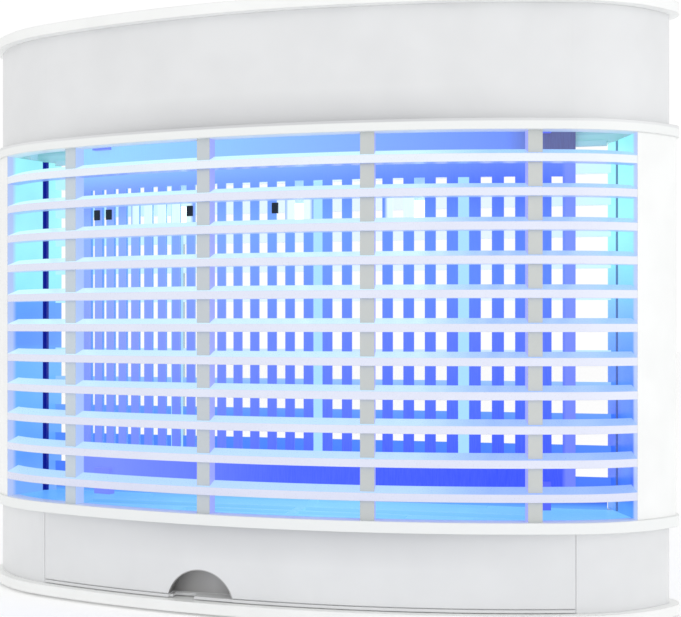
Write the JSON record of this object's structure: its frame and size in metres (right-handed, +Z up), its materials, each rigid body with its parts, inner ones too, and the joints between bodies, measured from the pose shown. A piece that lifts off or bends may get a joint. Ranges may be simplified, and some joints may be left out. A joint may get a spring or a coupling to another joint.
{
  "type": "bug zapper",
  "caption": "Bow-fronted white electric insect killer with slatted front and rear windows, a slotted grid behind them, a pull-out catch tray and a hanging bail.",
  "frame": {"origin": "centre of the footprint, on the surface the feet stand on", "axes": "+X to the object's right seen from the front, +Y towards the flat back, +Z up; the bowed front faces -Y"},
  "size_m": [0.3224, 0.07, 0.2683],
  "materials": {
    "shell": "smooth moulded white plastic, satin gloss",
    "band": "fine moulded light grey-white plastic",
    "slat": "smooth white plastic",
    "bar": "matt warm grey plastic",
    "liner": "matt white plastic",
    "insulator": "matt white insulating plastic",
    "grid_metal": "anodised blue",
    "strip_aluminium": "satin",
    "led_lens": "clear violet-blue lens",
    "bright_steel": "zinc-bright",
    "foot_rubber": "matt black rubber",
    "potting": "potted black case",
    "board": "green solder mask",
    "component": "black cases",
    "lead_red": "red wire covering",
    "lead_brown": "brown wire covering",
    "black_fitting": "fine-textured black",
    "black_rocker": "glossy black"
  },
  "bodies": {
    "cabinet": {"bottom_plate": "shell", "rubber_feet": "foot_rubber", "base_housing": "band", "chamber_floor": "liner", "front_slats": "slat", "front_bars": "bar", "rear_slats": "slat", "rear_bars": "bar", "left_end_post": "shell", "right_end_post": "shell", "top_housing": "band", "chamber_ceiling": "liner", "top_lid": "shell", "grid_plate": "grid_metal", "grid_rods": "grid_metal", "upper_rod_rail": "insulator", "lower_rod_rail": "insulator", "grid_insulators": "insulator", "grid_screws": "bright_steel", "grid_clips": "black_fitting", "led_strip": "strip_aluminium", "uv_leds": "led_lens", "high_voltage_module": "potting", "control_board": "board", "board_components": "component", "grid_leads": "lead_red", "mains_leads": "lead_brown", "mains_inlet": "black_fitting", "switch_bezel": "black_fitting", "bail_brackets": "bright_steel", "bracket_screws": "bright_steel", "lid_screws": "bright_steel", "base_screws": "bright_steel", "post_screws": "bright_steel"},
    "tray": {"catch_tray": "band"},
    "rocker": {"rocker_switch": "black_rocker"},
    "bail": {"hanging_bail": "bright_steel"}
  },
  "joints": [
    {"name": "tray_slide", "type": "slide", "parent": "cabinet", "child": "tray", "axis": [0, -1, 0], "range_m": [0, 0.06]},
    {"name": "rocker_tip", "type": "hinge", "parent": "cabinet", "child": "rocker", "pos_m": [0.036, 0.03, 0.2339], "axis": [1, 0, 0], "range_deg": [0, 14]},
    {"name": "bail_pivot", "type": "hinge", "parent": "cabinet", "child": "bail", "pos_m": [0, -0.004, 0.265], "axis": [1, 0, 0], "range_deg": [0, 180]}
  ]
}
